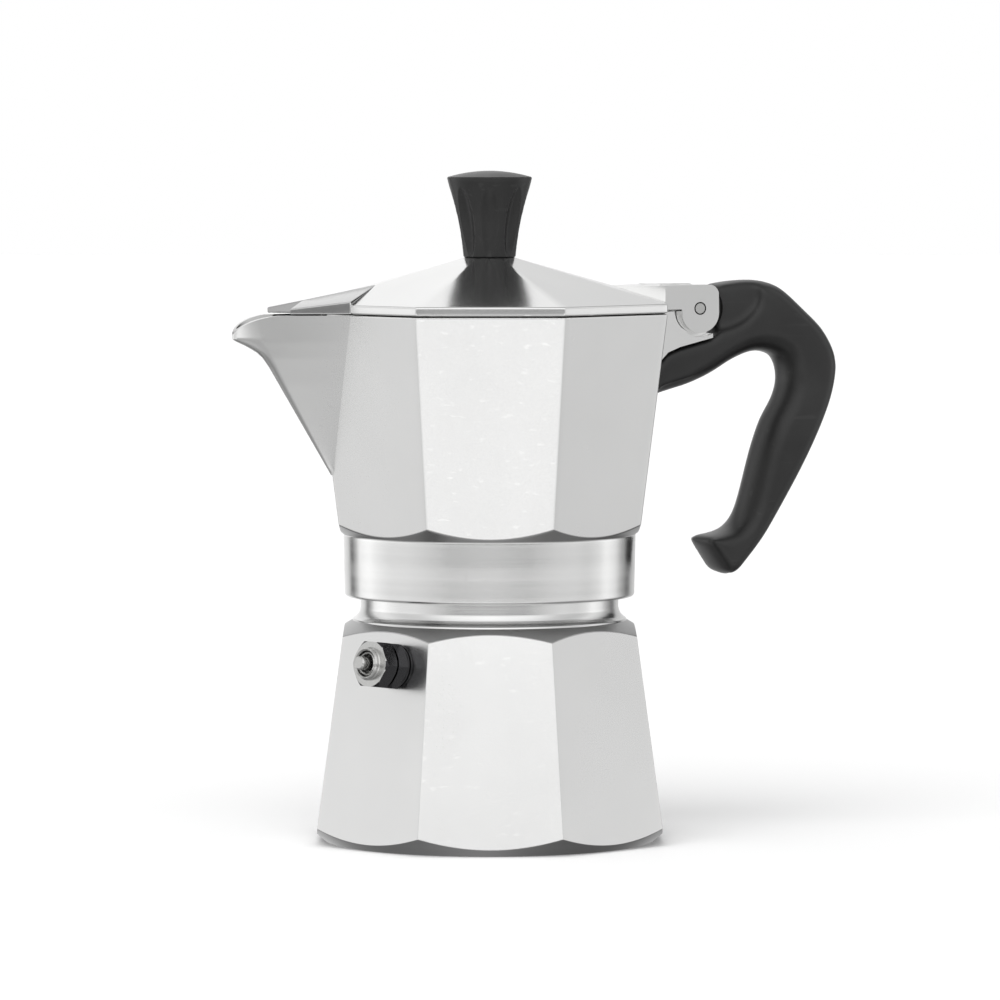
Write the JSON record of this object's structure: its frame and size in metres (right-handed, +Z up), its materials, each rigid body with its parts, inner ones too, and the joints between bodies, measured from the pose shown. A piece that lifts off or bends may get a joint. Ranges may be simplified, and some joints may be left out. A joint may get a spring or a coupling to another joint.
{
  "type": "stovetop moka pot",
  "caption": "Octagonal aluminium moka pot for the stove: boiler with safety valve, funnel, gasket, filter plate, screw-on collector with spout, hinged lid, black knob and handle.",
  "frame": {"origin": "centre of the boiler's flat underside", "axes": "+Z up; +X towards the handle and -X towards the spout, both on edges between two facets; +Y to the side away from the safety valve"},
  "size_m": [0.1561, 0.091, 0.16],
  "materials": {
    "body_aluminium": "satin-polished cast aluminium with turned belt and neck",
    "pressed_aluminium": "plain pressed sheet",
    "valve_nickel": "dark nickel plate on brass",
    "steel": "bright steel",
    "insert_brass": "turned brass",
    "black_plastic": "black moulded plastic with a satin face",
    "seal_rubber": "white rubber"
  },
  "bodies": {
    "boiler": {"boiler": "body_aluminium", "valve_body": "valve_nickel", "valve_washer": "steel", "valve_retainer": "steel", "valve_spring": "steel"},
    "valve_plunger": {"valve_stem": "steel", "valve_seal": "seal_rubber"},
    "funnel": {"funnel": "pressed_aluminium", "funnel_tube": "pressed_aluminium", "funnel_screen": "pressed_aluminium"},
    "gasket": {"gasket": "seal_rubber"},
    "filter_plate": {"filter_plate": "pressed_aluminium"},
    "collector": {"collector": "body_aluminium", "handle": "black_plastic", "handle_screw": "steel", "hinge_pin": "steel"},
    "lid": {"lid": "body_aluminium", "knob": "black_plastic", "knob_insert": "insert_brass", "knob_screw": "steel", "knob_washer": "steel"}
  },
  "joints": [
    {"name": "valve_lift", "type": "slide", "parent": "boiler", "child": "valve_plunger", "axis": [-0.9158, -0.3793, 0.1323], "range_m": [0, 0.0012], "stiffness_N_per_m": 600, "springref_m": -0.0015},
    {"name": "funnel_lift", "type": "slide", "parent": "boiler", "child": "funnel", "axis": [0, 0, 1], "range_m": [0, 0.07]},
    {"name": "gasket_lift", "type": "slide", "parent": "funnel", "child": "gasket", "axis": [0, 0, 1], "range_m": [0, 0.07]},
    {"name": "thread_rise", "type": "slide", "parent": "gasket", "child": "filter_plate", "axis": [0, 0, 1], "range_m": [0, 0.006]},
    {"name": "collector_turn", "type": "hinge", "parent": "filter_plate", "child": "collector", "pos_m": [0, 0, 0.07], "axis": [0, 0, 1], "range_deg": [0, 720]},
    {"name": "lid_hinge", "type": "hinge", "parent": "collector", "child": "lid", "pos_m": [0.0516, 0, 0.1268], "axis": [0, 1, 0], "range_deg": [0, 90]}
  ],
  "couplings": [
    {"joint": "gasket_lift", "follows": "funnel_lift", "ratio": 1},
    {"joint": "thread_rise", "follows": "collector_turn", "m_per_rad": 0.00047746}
  ]
}
